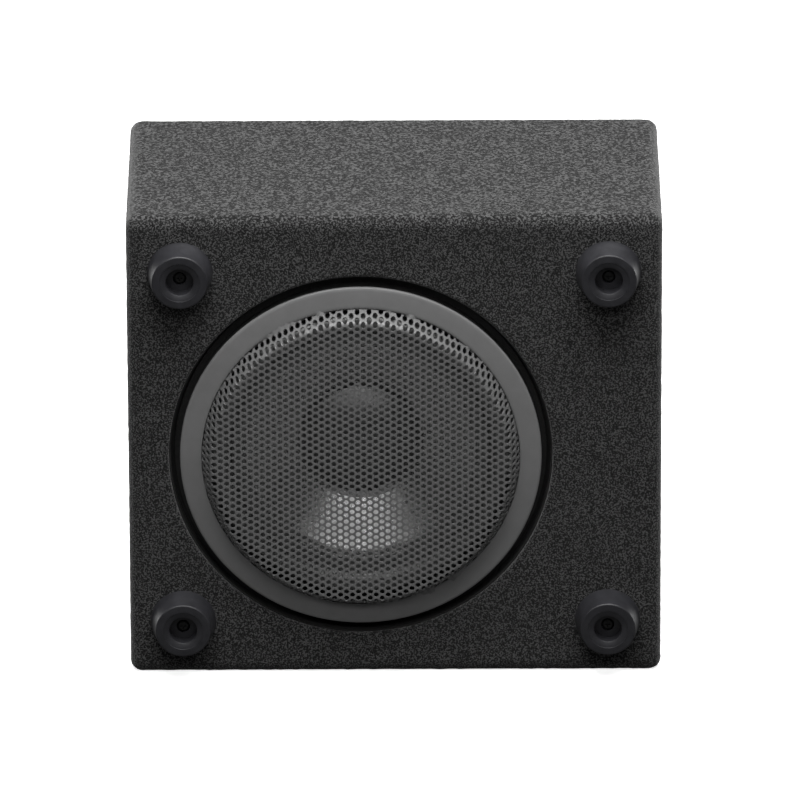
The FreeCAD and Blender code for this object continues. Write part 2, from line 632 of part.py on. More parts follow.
def circuit_board():
    board = block((PCB_X - PCB_T, PCB_X), amp_y(40.0), amp_z(100.0))
    holes = [rod_x(1.6, (PCB_X - 3, PCB_X + 1), AMP_Y + y, AMP_Z + z) for y, z in PCB_POSTS]
    save("circuit_board", board.cut(holes))
    back = PCB_X - PCB_T
    screws = [pan_screw_x(AMP_Y + y, AMP_Z + z, back, 8.0, 1.3, 2.6, 1.6, -1) for y, z in PCB_POSTS]
    screws += [pan_screw_x(AMP_Y + y, AMP_Z + z, COVER_X, 9.0, 1.3, 2.6, 1.6, -1) for y, z in COVER_POSTS]
    save("inner_screws", *screws)

    cans = []
    for y, z in ((-26.0, 30.0), (-8.0, 30.0), (-26.0, 50.0), (-8.0, 50.0)):
        can = rod_x(7.5, (back - 20.0, back), AMP_Y + y, AMP_Z + z)
        cans.append(can.makeFillet(0.8, [can.Edges[0], can.Edges[2]]))
    save("capacitors", *cans)

    core = turned_x([(6.0, back - 13), (17.0, back - 13), (17.0, back), (6.0, back)], AMP_Y + 18, AMP_Z - 20)
    save("power_inductor", core.makeFillet(2.5, core.Edges[:]))

    chips = []
    for index in range(4):
        z = AMP_Z + 2.0 + index * 22.0
        chips.append(block((129.5, TRAY_BACK_X), (AMP_Y - 8.0, AMP_Y + 7.0), (z - 5.0, z + 5.0)))
    save("power_transistors", *chips)
    bar = block((127.5, 129.5), (AMP_Y - 4.0, AMP_Y + 3.0), (AMP_Z - 6.0, AMP_Z + 78.0))
    save("transistor_clamp", bar)


# ---------------------------------------------------------------- controls and sockets
def knob(name, y):
    """Fluted knob with a moulded shaft that turns in a fixed bushing. Returns the control's case."""
    cy = AMP_Y + y
    cz = AMP_Z + KNOB_ROW_Z
    base = TRAY_FLOOR_X + 1.0
    top = base + 10.0
    body = turned_x([(0, PCB_X + 2.0), (3.0, PCB_X + 2.0), (3.0, base), (6.3, base), (6.3, base + 1.5),
                     (5.6, base + 2.0), (5.2, top - 0.6), (4.6, top), (0, top)], cy, cz)
    flutes = []
    for index in range(14):
        angle = math.radians(index * 360.0 / 14)
        place = (cy + 5.6 * math.cos(angle), cz + 5.6 * math.sin(angle))
        flutes.append(rod_x(0.45, (base + 2.3, top + 1), *place))
    pointer = block((top - 0.7, top + 1), (cy - 0.5, cy + 0.5), (cz, cz + 6.5))
    save(name + "_knob", body.cut(flutes + [pointer]))
    case = block((PCB_X, PCB_X + 7.0), (cy - 5.5, cy + 5.5), (cz - 5.5, cz + 5.5))
    case = case.fuse(rod_x(3.5, (PCB_X + 6.0, TRAY_FLOOR_X + 0.6), cy, cz))
    return case.cut(rod_x(3.05, (PCB_X + 1.7, TRAY_FLOOR_X + 2), cy, cz))


def slider(name, y):
    """Slide switch: a small lever at the lower end of its slot in a fixed case. Returns the case."""
    cy = AMP_Y + y
    cz = AMP_Z + KNOB_ROW_Z
    low = cz - SLIDER_TRAVEL
    lever = block((PCB_X + 4.3, TRAY_FLOOR_X + 4.0), (cy - 1.3, cy + 1.3), (low - 1.3, low + 1.3))
    save(name + "_slider", lever)
    case = block((PCB_X, TRAY_BACK_X), (cy - 3.5, cy + 3.5), (cz - 6.0, cz + 6.0))
    return case.cut(block((PCB_X + 4.0, TRAY_BACK_X + 1), *slider_slot(y)))


def controls():
    save("potentiometers", *[knob(name, y) for name, y in KNOB_Y.items()])
    save("slide_switches", *[slider(name, y) for name, y in SLIDER_Y.items()])
    led = turned_x([(0, PCB_X), (1.5, PCB_X), (1.5, TRAY_FLOOR_X), (1.1, TRAY_FLOOR_X + 1.1),
                    (0.4, TRAY_FLOOR_X + 1.5), (0, TRAY_FLOOR_X + 1.5)], AMP_Y + LED_Y, AMP_Z + JACK_ROW_Z)
    save("power_led", led)


def line_inputs():
    """Two phono jacks: metal barrels around plastic cores on one plastic block."""
    z = AMP_Z + JACK_ROW_Z
    barrels = []
    housing = block((PCB_X, TRAY_BACK_X), (AMP_Y + RCA_Y[0] - 6, AMP_Y + RCA_Y[1] + 6), (z - 7, z + 7))
    for y in RCA_Y:
        cy = AMP_Y + y
        housing = housing.fuse(rod_x(5.0, (TRAY_BACK_X - 1, TRAY_FLOOR_X + 0.5), cy, z))
        housing = housing.fuse(rod_x(3.4, (TRAY_FLOOR_X, TRAY_FLOOR_X + 8.5), cy, z))
        housing = housing.cut(rod_x(1.6, (TRAY_FLOOR_X, TRAY_FLOOR_X + 10), cy, z))
        start = TRAY_FLOOR_X + 0.5
        barrels.append(turned_x([(3.4, start), (5.0, start), (5.0, start + 0.8), (4.15, start + 0.8),
                                 (4.15, start + 9.5), (3.4, start + 9.5)], cy, z))
    save("line_input_block", housing)
    save("line_input_barrels", *barrels)


def cavity_socket(size, outer_x, wall):
    """Rectangular socket, open along +X, that stands on the board and passes through the tray."""
    shell = block((PCB_X, outer_x), *footprint(*size, shrink=0.2))
    return shell.cut(block((TRAY_FLOOR_X, outer_x + 1), *footprint(*size, shrink=wall)))


def sockets():
    save("remote_port", cavity_socket(REMOTE, 149.0, 2.0))
    save("speaker_input_socket", cavity_socket(SPEAKER_IN, 149.0, 2.0))
    pins = []
    for index in range(4):
        y = AMP_Y + SPEAKER_IN[0] + (index - 1.5) * 4.5
        pins.append(rod_x(0.7, (TRAY_FLOOR_X, 145.0), y, AMP_Z + SPEAKER_IN[1] - 2.2))
    save("speaker_input_pins", *pins)


def power_terminals():
    """Barrier strip with three clamping screws, and a holder with two blade fuses."""
    base = block((PCB_X, 141.0), *footprint(*POWER, shrink=0.2))
    y_span, z_span = footprint(*POWER, shrink=0.2)
    walls = []
    for index in range(4):
        y = y_span[0] + index * (y_span[1] - y_span[0] - 2.0) / 3
        walls.append(block((140.0, 150.0), (y, y + 2.0), z_span))
    save("terminal_block", base.fuse(walls))

    plates = []
    screws = []
    step = (y_span[1] - y_span[0] - 2.0) / 3
    for index in range(3):
        cy = y_span[0] + 1.0 + (index + 0.5) * step
        z = AMP_Z + POWER_ROW_Z
        plate = block((141.0, 142.0), (cy - 5.0, cy + 5.0), (z - 7.0, z + 7.0))
        plates.append(plate.cut(rod_x(2.0, (140, 143), cy, z)))
        screws.append(pan_screw_x(cy, z, 142.0, 1.0, 2.0, 3.8, 2.4))
    save("terminal_plates", *plates)
    save("terminal_screws", *screws)

    holder = block((PCB_X, 142.0), *footprint(*FUSES, shrink=0.2))
    fuses = []
    for side in (-1, 1):
        cy = AMP_Y + FUSES[0]
        cz = AMP_Z + FUSES[1] + side * 4.6
        fuses.append(block((142.0, 151.0), (cy - 9.5, cy + 9.5), (cz - 2.6, cz + 2.6)))
    save("fuse_holder", holder)
    save("fuses", *fuses)


def main():
    os.makedirs("parts", exist_ok=True)
    panels()
    carpet()
    felt()
    feet()
    basket()
    flange_seals()
    surround()
    cone()
    dust_cap()
    coil()
    spider()
    motor()
    driver_terminals()
    driver_screws()
    trim_ring()
    grille()
    tray()
    amp_seal_and_screws()
    cover()
    circuit_board()
    controls()
    line_inputs()
    sockets()
    power_terminals()


main()
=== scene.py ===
import json
import math

import bmesh
import bpy
import numpy as np
from mathutils import Matrix, Vector, geometry


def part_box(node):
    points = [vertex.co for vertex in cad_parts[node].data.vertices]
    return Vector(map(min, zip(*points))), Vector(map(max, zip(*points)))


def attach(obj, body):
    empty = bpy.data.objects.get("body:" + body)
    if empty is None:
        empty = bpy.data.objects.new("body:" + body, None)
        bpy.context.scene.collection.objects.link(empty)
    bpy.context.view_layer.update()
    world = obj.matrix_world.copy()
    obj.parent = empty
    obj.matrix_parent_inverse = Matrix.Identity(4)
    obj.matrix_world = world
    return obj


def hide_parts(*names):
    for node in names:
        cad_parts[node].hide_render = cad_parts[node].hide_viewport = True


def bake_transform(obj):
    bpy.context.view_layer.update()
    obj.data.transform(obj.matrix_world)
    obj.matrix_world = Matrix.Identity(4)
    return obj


# Looks of a powered car subwoofer. Lengths are in metres and the frame is the CAD model's own:
# +Z up, the driver faces -Y, the amplifier is in the +X end.
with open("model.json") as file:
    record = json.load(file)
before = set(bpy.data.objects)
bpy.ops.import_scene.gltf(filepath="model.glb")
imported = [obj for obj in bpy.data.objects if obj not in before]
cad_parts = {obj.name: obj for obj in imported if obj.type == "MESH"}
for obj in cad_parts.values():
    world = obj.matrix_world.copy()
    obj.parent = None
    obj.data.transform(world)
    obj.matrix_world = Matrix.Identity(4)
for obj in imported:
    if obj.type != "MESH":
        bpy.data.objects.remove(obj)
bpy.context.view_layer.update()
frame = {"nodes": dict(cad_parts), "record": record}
MM = 0.001

# ---------------------------------------------------------------- places taken from the frame
ROOT = "enclosure"
CONE_BODY = "cone_assembly"
wrap_low, wrap_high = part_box("carpet_wrap")
ring_low, ring_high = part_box("trim_ring")
feet_low, feet_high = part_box("rubber_feet")
tray_low, tray_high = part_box("amp_tray")
HALF_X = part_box("carpet_ends")[1].x
SEAM_X = wrap_high.x
FRONT_Y = wrap_low.y
BACK_Y = wrap_high.y
TOP_Z = wrap_high.z
AXIS_X = (ring_low.x + ring_high.x) / 2
AXIS_Z = (ring_low.z + ring_high.z) / 2
FOOT_R = 19 * MM
FOOT_PLACES = [(x, z) for x in (feet_low.x + FOOT_R, feet_high.x - FOOT_R)
               for z in (feet_low.z + FOOT_R, feet_high.z - FOOT_R)]

# ---------------------------------------------------------------- driving sizes
EDGE_R = 6.5 * MM
SEAM_ANGLE = math.degrees(math.asin((SEAM_X - (HALF_X - EDGE_R)) / EDGE_R))
CARPET_T = 2.4 * MM
CARPET_GRID = 3.0 * MM
CARPET_PILE = 0.3 * MM
HOLE_ROUND = 1.6 * MM
RECESS_R = 111.4 * MM
RING_R = 105.0 * MM
RING_BORE_R = 92.4 * MM
RING_PROUD = 1.3 * MM
RING_FALL = 1.2 * MM
RING_UNDER = 1.7 * MM
HOLE_R = 1.5 * MM
HOLE_PITCH = 4.0 * MM
LATTICE_SHIFT = (HOLE_PITCH * math.sqrt(3) / 4, 1.5 * MM)
WALL_STRETCH = 1.75
GRILLE_T = 1.0 * MM
GRILLE_FLAT_R = 85.9 * MM
GRILLE_PROUD = 11.3 * MM
GRILLE_EDGE_R = 100.8 * MM
CONE_EDGE_R = 66.0 * MM
CONE_EDGE_DEPTH = 8.0 * MM
NECK_R = 19.3 * MM
NECK_DEPTH = 35.5 * MM
PAPER_T = 0.8 * MM
ROLL_IN_R = 75.0 * MM
ROLL_OUT_R = 88.0 * MM
LIP_R = 95.0 * MM
FLANGE_DEPTH = 10.0 * MM
SPIDER_T = 0.6 * MM
SPIDER_WAVES = 4
SPIDER_LEDGE_R = 53.0 * MM
TINSEL_R = 0.9 * MM
LEAD_START_R = 72.0 * MM
LEAD_SLACK_R = 65.0 * MM
LEAD_SLACK_DEPTH = 29.0 * MM
LEAD_END_R = 38.0 * MM
LEAD_END_GAP = 2.2 * MM
DUST_CAP_R = 33.0 * MM
DUST_CAP_RISE = 11.0 * MM
DUST_CAP_T = 0.6 * MM
FOOT_H = 16.0 * MM
FOOT_END_R = 16.2 * MM
FOOT_RECESS_R = 8.0 * MM
FOOT_RECESS_DEPTH = 8.0 * MM
FOOT_BORE_R = 2.4 * MM
FOOT_POCKET_R = 3.9 * MM
FOOT_POCKET_DEPTH = 3.0 * MM


# ---------------------------------------------------------------- mesh helpers
def new_object(name, mesh):
    obj = bpy.data.objects.new(name, mesh)
    bpy.context.scene.collection.objects.link(obj)
    return obj


def smooth_by_angle(mesh, degrees=35.0):
    """Smooth shading, with the edges that turn by more than an angle kept sharp."""
    bm = bmesh.new()
    bm.from_mesh(mesh)
    limit = math.radians(degrees)
    for face in bm.faces:
        face.smooth = True
    for edge in bm.edges:
        edge.smooth = not (edge.is_manifold and edge.calc_face_angle(0.0) > limit)
    bm.to_mesh(mesh)
    bm.free()


def mesh_from(name, verts, faces):
    mesh = bpy.data.meshes.new(name)
    mesh.from_pydata([tuple(v) for v in verts], [], [tuple(f) for f in faces])
    bm = bmesh.new()
    bm.from_mesh(mesh)
    bmesh.ops.recalc_face_normals(bm, faces=bm.faces)
    bm.to_mesh(mesh)
    bm.free()
    return mesh


def finish_piece(obj, slot, stands_for, body=ROOT):
    """Gives a piece its slot's finish, its body and the nodes it replaces. A piece given no body stays
    unattached.
    """
    obj.data.materials.clear()
    obj.data.materials.append(MATERIALS[slot])
    if body:
        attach(obj, body)
    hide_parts(*stands_for)


def arc(centre, radius, start, end, steps):
    """Points (a, b) on an arc, angles in degrees, both ends included."""
    points = []
    for index in range(steps + 1):
        angle = math.radians(start + (end - start) * index / steps)
        points.append((centre[0] + radius * math.cos(angle), centre[1] + radius * math.sin(angle)))
    return points


def lathe_mesh(name, profile, centre=(AXIS_X, AXIS_Z), steps=192):
    """A closed profile of (radius, depth) points turned about a line along Y."""
    verts = []
    rings = []
    for radius, depth in profile:
        if radius < 1e-7:
            rings.append([len(verts)] * steps)
            verts.append((centre[0], FRONT_Y + depth, centre[1]))
            continue
        rings.append([len(verts) + i for i in range(steps)])
        for i in range(steps):
            angle = 2 * math.pi * i / steps
            verts.append((centre[0] + radius * math.cos(angle), FRONT_Y + depth,
                          centre[1] + radius * math.sin(angle)))
    faces = []
    for near, far in zip(rings, rings[1:] + rings[:1]):
        for i in range(steps):
            j = (i + 1) % steps
            corners = [near[i], near[j], far[j], far[i]]
            corners = [c for k, c in enumerate(corners) if c not in corners[:k]]
            if len(corners) > 2:
                faces.append(corners)
    mesh = mesh_from(name, verts, faces)
    smooth_by_angle(mesh)
    return mesh


def join_meshes(name, meshes):
    bm = bmesh.new()
    for mesh in meshes:
        bm.from_mesh(mesh)
    joined = bpy.data.meshes.new(name)
    bm.to_mesh(joined)
    bm.free()
    return joined


# ---------------------------------------------------------------- materials
def node_of(tree, kind, **settings):
    node = tree.nodes.new(kind)
    for key, value in settings.items():
        if key in node.inputs:
            node.inputs[key].default_value = value
        else:
            setattr(node, key, value)
    return node


def noise_of(tree, coords, size, detail=4.0, roughness=0.55):
    """Noise whose main features are about size across, in metres."""
    noise = node_of(tree, "ShaderNodeTexNoise", Scale=1.0 / size, Detail=detail, Roughness=roughness)
    tree.links.new(coords, noise.inputs["Vector"])
    return noise.outputs["Fac"]


def ramp_of(tree, factor, stops):
    ramp = tree.nodes.new("ShaderNodeValToRGB")
    elements = ramp.color_ramp.elements
    while len(elements) < len(stops):
        elements.new(0.5)
    for element, (place, colour) in zip(elements, stops):
        element.position = place
        element.color = (*colour, 1.0)
    tree.links.new(factor, ramp.inputs["Fac"])
    return ramp.outputs["Color"]


def map_range(tree, factor, low, high, out_low, out_high):
    node = node_of(tree, "ShaderNodeMapRange")
    for name, value in (("From Min", low), ("From Max", high), ("To Min", out_low), ("To Max", out_high)):
        node.inputs[name].default_value = value
    tree.links.new(factor, node.inputs["Value"])
    return node.outputs["Result"]


def bump_of(tree, height, distance):
    bump = node_of(tree, "ShaderNodeBump", Strength=1.0, Distance=distance)
    tree.links.new(height, bump.inputs["Height"])
    return bump.outputs["Normal"]


def blank_material(name):
    """A material with its tree, principled shader and object coordinates."""
    material = bpy.data.materials.new(name)
    material.use_nodes = True
    tree = material.node_tree
    shader = tree.nodes["Principled BSDF"]
    coords = tree.nodes.new("ShaderNodeTexCoord").outputs["Object"]
    return material, tree, shader, coords


def grey(value):
    return (value, value, value)


def surface(name, dark, light, size, rough, bump=0.0, bump_size=None, metallic=0.0):
    """Mottled base colour, uneven roughness and a fine bump. rough is (low, high)."""
    material, tree, shader, coords = blank_material(name)
    mottle = noise_of(tree, coords, size)
    tree.links.new(ramp_of(tree, mottle, [(0.35, dark), (0.65, light)]), shader.inputs["Base Color"])
    wear = noise_of(tree, coords, size * 3.1, detail=3.0)
    tree.links.new(map_range(tree, wear, 0.35, 0.65, *rough), shader.inputs["Roughness"])
    if bump:
        fine = noise_of(tree, coords, bump_size or size, detail=2.0)
        tree.links.new(bump_of(tree, fine, bump), shader.inputs["Normal"])
    shader.inputs["Metallic"].default_value = metallic
    return material


def carpet_material():
    """Needle-felt: matted fibres, trodden a little coarser on the level faces, over a slow unevenness."""
    material, tree, shader, coords = blank_material("carpet_felt")
    level = node_of(tree, "ShaderNodeSeparateXYZ")
    tree.links.new(tree.nodes.new("ShaderNodeTexCoord").outputs["Normal"], level.inputs[0])
    steepness = node_of(tree, "ShaderNodeMath", operation="ABSOLUTE")
    tree.links.new(level.outputs["Z"], steepness.inputs[0])
    blend = node_of(tree, "ShaderNodeMix", data_type="FLOAT")
    tree.links.new(map_range(tree, steepness.outputs[0], 0.5, 0.9, 0.0, 1.0), blend.inputs[0])
    tree.links.new(noise_of(tree, coords, 0.95 * MM, detail=1.5, roughness=0.6), blend.inputs[2])
    tree.links.new(noise_of(tree, coords, 1.5 * MM, detail=1.5, roughness=0.6), blend.inputs[3])
    grain = blend.outputs[0]
    patches = noise_of(tree, coords, 24 * MM, detail=3.0)
    colour = ramp_of(tree, grain, [(0.41, grey(0.001)), (0.50, grey(0.012)), (0.59, grey(0.077))])
    tint = node_of(tree, "ShaderNodeMix", data_type="RGBA", blend_type="MULTIPLY")
    tint.inputs["Factor"].default_value = 1.0
    shade = ramp_of(tree, patches, [(0.3, grey(0.88)), (0.7, grey(1.0))])
    tree.links.new(colour, tint.inputs[6])
    tree.links.new(shade, tint.inputs[7])
    tree.links.new(tint.outputs[2], shader.inputs["Base Color"])
    tree.links.new(bump_of(tree, grain, 0.5 * MM), shader.inputs["Normal"])
    shader.inputs["Roughness"].default_value = 0.95
    shader.inputs["Specular IOR Level"].default_value = 0.25
    shader.inputs["Sheen Weight"].default_value = 0.2
    shader.inputs["Sheen Roughness"].default_value = 0.5
    return material


def mdf_material():
    """Raw MDF with fine fibre flecks. The board's front 14 mm, which shows round the driver's recess, is
    coloured near black.
    """
    material, tree, shader, coords = blank_material("mdf_board")
    flecks = noise_of(tree, coords, 1.2 * MM, detail=5.0)
    raw = ramp_of(tree, flecks, [(0.35, (0.30, 0.20, 0.11)), (0.65, (0.46, 0.33, 0.20))])
    split = node_of(tree, "ShaderNodeSeparateXYZ")
    tree.links.new(coords, split.inputs[0])
    front = map_range(tree, split.outputs["Y"], FRONT_Y + 14 * MM, FRONT_Y + 14.5 * MM, 1.0, 0.0)
    mix = node_of(tree, "ShaderNodeMix", data_type="RGBA")
    mix.inputs["B"].default_value = (0.006, 0.006, 0.006, 1.0)
    tree.links.new(front, mix.inputs["Factor"])
    tree.links.new(raw, mix.inputs["A"])
    tree.links.new(mix.outputs["Result"], shader.inputs["Base Color"])
    tree.links.new(bump_of(tree, flecks, 0.08 * MM), shader.inputs["Normal"])
    shader.inputs["Roughness"].default_value = 0.85
    return material


def slot_materials():
    """One procedural material for each of the record's slots."""
    return {
        "carpet": carpet_material(),
        "mdf": mdf_material(),
        "felt": surface("polyester_felt", grey(0.42), grey(0.62), 2 * MM, (0.9, 1.0), 0.6 * MM),
        "foot_rubber": surface("foot_rubber", (0.013, 0.013, 0.0155), (0.019, 0.019, 0.0225), 6 * MM,
                               (0.44, 0.56), 0.02 * MM, 0.5 * MM),
        "zinc_steel": surface("zinc_steel", grey(0.45), grey(0.62), 1.5 * MM, (0.25, 0.4), metallic=1.0),
        "black_steel": surface("black_steel", grey(0.010), grey(0.022), 1.5 * MM, (0.35, 0.5), metallic=0.6),
        "basket_paint": surface("basket_paint", grey(0.008), grey(0.014), 1.5 * MM, (0.5, 0.65), 0.03 * MM),
        "foam": surface("closed_foam", grey(0.010), grey(0.020), 0.8 * MM, (0.9, 1.0), 0.2 * MM),
        "clamp_rubber": surface("clamp_rubber", grey(0.006), grey(0.010), 4 * MM, (0.7, 0.8)),
        "surround_rubber": surface("surround_rubber", grey(0.21), grey(0.25), 5 * MM, (0.28, 0.36),
                                   metallic=0.65),
        "cone_paper": surface("cone_paper", grey(0.49), grey(0.59), 2.5 * MM, (0.25, 0.31), 0.006 * MM,
                              metallic=0.97),
        "cap_paper": surface("cap_paper", grey(0.17), grey(0.21), 2.5 * MM, (0.30, 0.38), 0.006 * MM,
                             metallic=0.75),
        "former_film": surface("former_film", (0.30, 0.12, 0.03), (0.40, 0.18, 0.05), 3 * MM, (0.25, 0.35)),
        "copper_wire": surface("copper_wire", (0.55, 0.24, 0.11), (0.75, 0.36, 0.18), 0.5 * MM, (0.3, 0.45),
                               metallic=1.0),
        "spider_cloth": surface("spider_cloth", (0.50, 0.34, 0.13), (0.68, 0.50, 0.24), 0.8 * MM, (0.8, 0.9),
                                0.1 * MM),
        "plated_iron": surface("plated_iron", grey(0.40), grey(0.55), 4 * MM, (0.3, 0.45), metallic=1.0),
        "ferrite": surface("ferrite", grey(0.045), grey(0.075), 0.7 * MM, (0.6, 0.75), 0.05 * MM),
        "boot_rubber": surface("boot_rubber", grey(0.012), grey(0.022), 5 * MM, (0.6, 0.75)),
        "tinsel": surface("tinsel", (0.50, 0.30, 0.18), (0.75, 0.50, 0.32), 0.4 * MM, (0.5, 0.7), 0.1 * MM),
        "wire_insulation": surface("wire_insulation", grey(0.03), grey(0.05), 4 * MM, (0.35, 0.5)),
        "board_fibre": surface("board_fibre", (0.18, 0.09, 0.04), (0.28, 0.15, 0.07), 1 * MM, (0.55, 0.7)),
        "tin": surface("tin", grey(0.60), grey(0.75), 1 * MM, (0.25, 0.4), metallic=1.0),
        "ring_plastic": surface("ring_plastic", grey(0.150), grey(0.163), 9 * MM, (0.50, 0.56), 0.012 * MM,
                                0.35 * MM),
        "grille_paint": surface("grille_paint", grey(0.120), grey(0.138), 2 * MM, (0.34, 0.44), 0.01 * MM,
                                0.3 * MM),
        "cast_aluminium": surface("cast_aluminium", grey(0.020), grey(0.030), 1.2 * MM, (0.45, 0.6),
                                  0.06 * MM, 0.5 * MM),
        "cover_steel": surface("cover_steel", grey(0.48), grey(0.66), 9 * MM, (0.3, 0.45), metallic=1.0),
        "circuit_green": surface("circuit_green", (0.01, 0.09, 0.03), (0.02, 0.16, 0.06), 6 * MM, (0.3, 0.4)),
        "can_sleeve": surface("can_sleeve", (0.010, 0.010, 0.016), (0.018, 0.018, 0.028), 6 * MM,
                              (0.25, 0.35)),
        "winding": surface("winding", (0.45, 0.19, 0.07), (0.66, 0.30, 0.13), 0.7 * MM, (0.3, 0.45),
                           metallic=1.0),
        "chip_epoxy": surface("chip_epoxy", grey(0.015), grey(0.028), 0.7 * MM, (0.5, 0.65)),
        "knob_plastic": surface("knob_plastic", grey(0.013), grey(0.019), 2 * MM, (0.35, 0.45), 0.008 * MM,
                                0.3 * MM),
        "control_case": surface("control_case", grey(0.03), grey(0.045), 2 * MM, (0.4, 0.55)),
        "slider_plastic": surface("slider_plastic", grey(0.50), grey(0.60), 1 * MM, (0.4, 0.5)),
        "led_lens": surface("led_lens", (0.45, 0.03, 0.02), (0.60, 0.06, 0.04), 1 * MM, (0.1, 0.2)),
        "jack_core": surface("jack_core", grey(0.52), grey(0.64), 2 * MM, (0.35, 0.45)),
        "nickel": surface("nickel", (0.58, 0.56, 0.50), (0.72, 0.70, 0.63), 1 * MM, (0.15, 0.3),
                          metallic=1.0),
        "socket_plastic": surface("socket_plastic", grey(0.018), grey(0.028), 1.5 * MM, (0.4, 0.55)),
        "terminal_plastic": surface("terminal_plastic", grey(0.012), grey(0.018), 1.5 * MM, (0.4, 0.5)),
        "brass_plate": surface("brass_plate", (0.62, 0.44, 0.16), (0.78, 0.60, 0.28), 1 * MM, (0.22, 0.36),
                               metallic=1.0),
        "fuse_body": surface("fuse_body", (0.04, 0.12, 0.42), (0.06, 0.18, 0.55), 2 * MM, (0.15, 0.25)),
    }


MATERIALS = slot_materials()


def dress_cad_nodes():
    """Every carried-over CAD node gets its slot's material."""
    for part in frame["record"]["subparts"]:
        mesh = frame["nodes"][part["node"]].data
        material = MATERIALS[part["material_slot"]]
        if not mesh.materials:
            mesh.materials.append(material)
        for index in range(len(mesh.materials)):
            mesh.materials[index] = material


# ---------------------------------------------------------------- carpet
def rounded_rect_path(spacing, arc_steps):
    """Perimeter of the box's side view as (inner point, outward normal) pairs, in Y and Z."""
    inner = [(FRONT_Y + EDGE_R, EDGE_R), (BACK_Y - EDGE_R, EDGE_R), (BACK_Y - EDGE_R, TOP_Z - EDGE_R),
             (FRONT_Y + EDGE_R, TOP_Z - EDGE_R)]
    path = []
    for corner in range(4):
        start = inner[corner]
        end = inner[(corner + 1) % 4]
        length = math.dist(start, end)
        heading = ((end[0] - start[0]) / length, (end[1] - start[1]) / length)
        normal_angle = math.degrees(math.atan2(-heading[0], heading[1]))
        count = round(length / spacing)
        for index in range(count):
            share = index / count
            point = (start[0] + (end[0] - start[0]) * share, start[1] + (end[1] - start[1]) * share)
            path.append((point, normal_angle))
        for index in range(arc_steps):
            path.append((end, normal_angle + 90.0 * index / arc_steps))
    return path


def edge_angles(first, last, steps):
    return [first + (last - first) * index / steps for index in range(steps + 1)]


def swept_rows(path, stations):
    """Rows of points, one per station (x, tilt in degrees), round the whole path."""
    rows = []
    for x, tilt in stations:
        reach = EDGE_R * math.cos(math.radians(tilt))
        row = []
        for (y, z), angle in path:
            turn = math.radians(angle)
            row.append((x, y + reach * math.cos(turn), z + reach * math.sin(turn)))
        rows.append(row)
    return rows


def quads_between(rows, first_index):
    count = len(rows[0])
    faces = []
    for r in range(len(rows) - 1):
        for i in range(count):
            j = (i + 1) % count
            base = first_index + r * count
            faces.append((base + i, base + j, base + count + j, base + count + i))
    return faces


def wrap_surface():
    """Outer surface of the strip round top, front, bottom and back, with the driver's round hole."""
    path = rounded_rect_path(CARPET_GRID, 6)
    inner_x = HALF_X - EDGE_R
    flat = round(2 * inner_x / CARPET_GRID)
    stations = [(-inner_x - EDGE_R * math.sin(math.radians(a)), a) for a in edge_angles(SEAM_ANGLE, 0.0, 3)]
    stations += [(-inner_x + 2 * inner_x * i / flat, 0.0) for i in range(1, flat)]
    stations += [(inner_x + EDGE_R * math.sin(math.radians(a)), a) for a in edge_angles(0.0, SEAM_ANGLE, 3)]
    rows = swept_rows(path, stations)
    bm = bmesh.new()
    bm.from_mesh(mesh_from("strip", [v for row in rows for v in row], quads_between(rows, 0)))
    clear_r = RECESS_R + HOLE_ROUND + CARPET_GRID
    inside = [f for f in bm.faces if abs(f.calc_center_median().y - FRONT_Y) < 0.01 * MM
              and axis_distance(f.calc_center_median()) < clear_r]
    bmesh.ops.delete(bm, geom=inside, context="FACES")
    loop = [e for e in bm.edges if e.is_boundary and axis_distance(e.verts[0].co) < clear_r + 2 * CARPET_GRID
            and abs(e.verts[0].co.y - FRONT_Y) < 0.01 * MM and abs(e.verts[1].co.y - FRONT_Y) < 0.01 * MM]
    points, edges = loop_points(loop)
    triangles_to_hole(bm, points, edges)
    bmesh.ops.delete(bm, geom=[v for v in bm.verts if not v.link_faces], context="VERTS")
    bmesh.ops.remove_doubles(bm, verts=bm.verts, dist=0.01 * MM)
    bmesh.ops.recalc_face_normals(bm, faces=bm.faces)
    return bm


def axis_distance(point):
    return math.hypot(point.x - AXIS_X, point.z - AXIS_Z)


def loop_points(loop):
    """Edges of a boundary loop as 2-D points about the driver's axis and index pairs."""
    index = {}
    points = []
    edges = []
    for edge in loop:
        for vert in edge.verts:
            if vert not in index:
                index[vert] = len(points)
                points.append((vert.co.x - AXIS_X, vert.co.z - AXIS_Z))
        edges.append((index[edge.verts[0]], index[edge.verts[1]]))
    return points, edges


def triangles_to_hole(bm, points, edges, steps=192):
    """Fills from the grid's ragged edge to the round hole, then rolls the felt into the hole."""
    roll = [(RECESS_R + HOLE_ROUND + r, d + HOLE_ROUND)
            for r, d in arc((0.0, 0.0), HOLE_ROUND, -90, -180, 5)]
    rim_r = roll[0][0]
    first = len(points)
    turns = [2 * math.pi * i / steps for i in range(steps)]
    points += [(rim_r * math.cos(a), rim_r * math.sin(a)) for a in turns]
    edges += [(first + i, first + (i + 1) % steps) for i in range(steps)]
    flat, _, triangles, _, _, _ = geometry.delaunay_2d_cdt([Vector(p) for p in points], edges, [], 1, 1e-7)
    verts = [bm.verts.new((AXIS_X + p.x, FRONT_Y, AXIS_Z + p.y)) for p in flat]
    for corners in triangles:
        middle = sum((flat[c] for c in corners), Vector((0.0, 0.0))) / 3
        if middle.length > rim_r * math.cos(math.pi / steps):
            bm.faces.new([verts[c] for c in corners])
    rings = []
    for radius, depth in roll:
        rings.append([bm.verts.new((AXIS_X + radius * math.cos(a), FRONT_Y + depth,
                                    AXIS_Z + radius * math.sin(a))) for a in turns])
    for near, far in zip(rings, rings[1:]):
        for i in range(steps):
            j = (i + 1) % steps
            bm.faces.new((near[i], near[j], far[j], far[i]))


